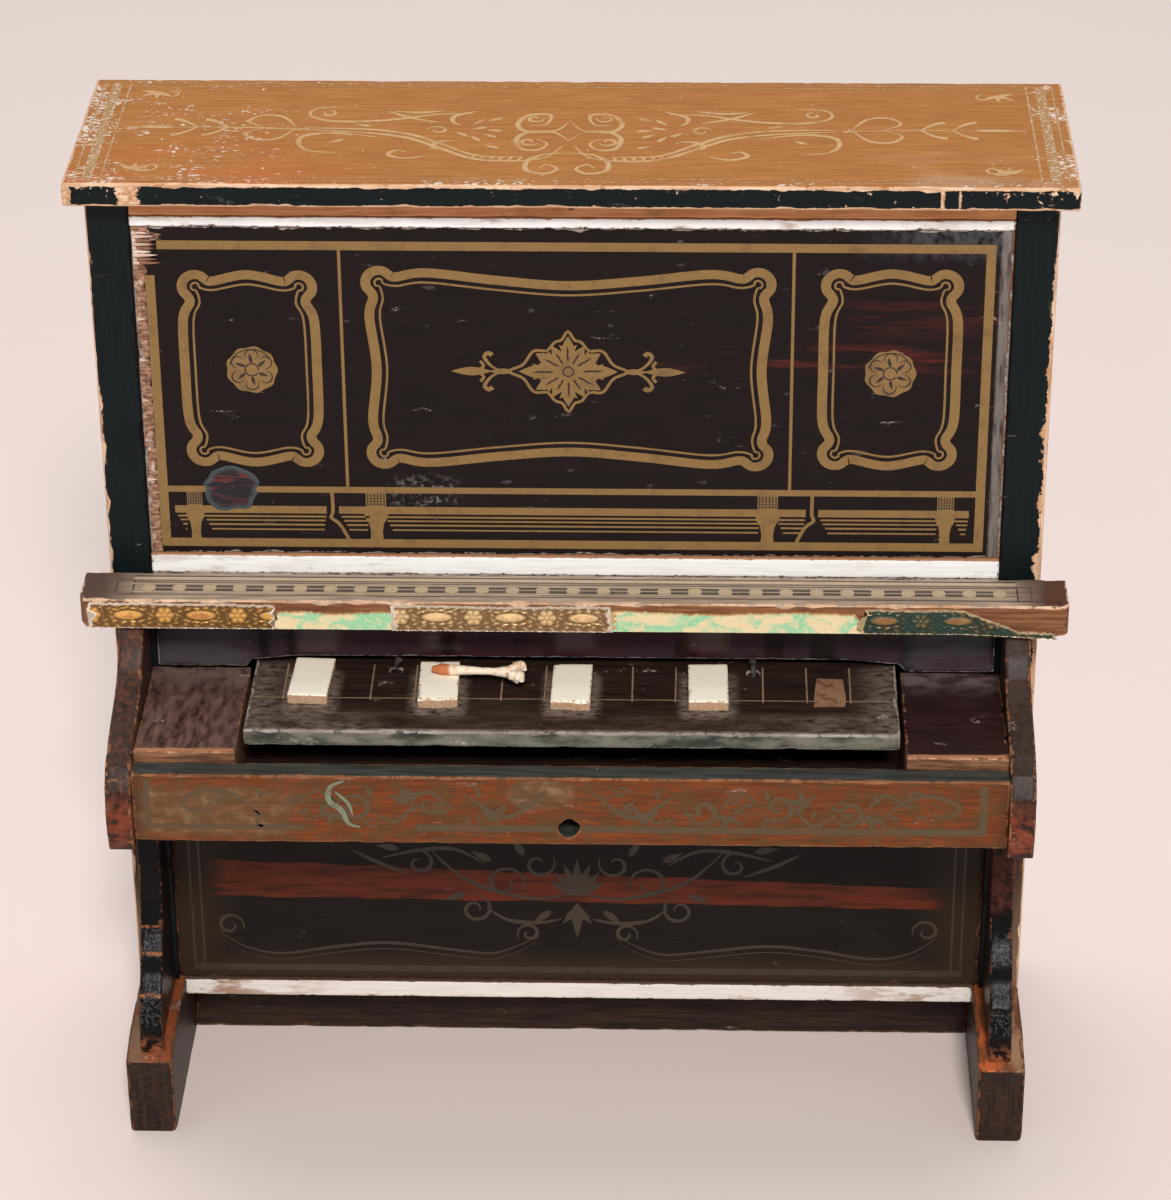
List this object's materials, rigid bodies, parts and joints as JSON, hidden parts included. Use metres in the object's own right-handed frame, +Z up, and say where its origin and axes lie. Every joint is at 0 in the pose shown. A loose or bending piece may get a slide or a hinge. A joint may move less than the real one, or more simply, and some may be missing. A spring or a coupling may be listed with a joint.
{
  "type": "toy upright piano",
  "caption": "Dolls' house upright piano of lacquered boards, with a music ledge, arms, legs and a keyboard board that rocks on two guide pins.",
  "frame": {"origin": "on the floor, under the centre of the whole object's bounding box", "axes": "+Z up, the keyboard faces -Y, +X to the right as seen from the front"},
  "size_m": [0.1428, 0.0628, 0.1508],
  "materials": {
    "lid_lacquer": "worn satin lacquer",
    "black_lacquer": "worn black lacquer",
    "rosewood_print": "dark red-brown lacquer with gilt print",
    "redwood_print": "red-brown stain with olive gilt print",
    "dark_stain": "dark stain, worn at the edges",
    "raw_wood": "bare wood",
    "white_paper": "dull, scuffed",
    "gold_paper": "embossed gilt",
    "green_paper": "faded remains of embossed paper",
    "bone_white": "cream paint",
    "steel": "dull wire",
    "felt": "felt"
  },
  "bodies": {
    "case": {"lid": "lid_lacquer", "side_left": "black_lacquer", "side_right": "black_lacquer", "back_board": "dark_stain", "floor_board": "dark_stain", "kick_rail": "dark_stain", "top_rail": "raw_wood", "top_rail_nail": "steel", "white_strip_top": "white_paper", "upper_panel": "rosewood_print", "white_strip_middle": "white_paper", "lower_panel": "redwood_print", "white_strip_bottom": "white_paper", "nameboard": "rosewood_print", "music_ledge": "redwood_print", "trim_left": "gold_paper", "trim_middle": "gold_paper", "paper_scrap_left": "green_paper", "paper_scrap_right": "green_paper", "trim_right_peeling": "green_paper", "key_bed": "dark_stain", "key_block_left": "rosewood_print", "key_block_right": "rosewood_print", "front_rail": "redwood_print", "arm_left": "dark_stain", "arm_right": "dark_stain", "leg_left": "dark_stain", "leg_right": "dark_stain", "foot_left": "dark_stain", "foot_right": "dark_stain", "balance_rail": "raw_wood", "guide_pin_left": "steel", "guide_pin_right": "steel", "rest_rail": "raw_wood", "rest_felt": "felt", "spring_rail": "raw_wood", "return_spring_left": "steel", "return_spring_right": "steel", "tone_block": "raw_wood", "tine_1": "steel", "tine_2": "steel", "tine_3": "steel", "tine_4": "steel", "tine_5": "steel"},
    "keyboard": {"keyboard_board": "dark_stain", "raised_key_1": "bone_white", "raised_key_2": "bone_white", "raised_key_3": "bone_white", "raised_key_4": "bone_white", "striker_bar": "raw_wood", "loose_stick": "bone_white"}
  },
  "joints": [
    {"name": "keyboard_press", "type": "hinge", "parent": "case", "child": "keyboard", "pos_m": [0, -0.0034, 0.0693], "axis": [1, 0, 0], "range_deg": [0, 6], "stiffness_Nm_per_rad": 0.02, "springref_deg": -11.46, "deforming": ["return_spring_left", "return_spring_right"]}
  ]
}
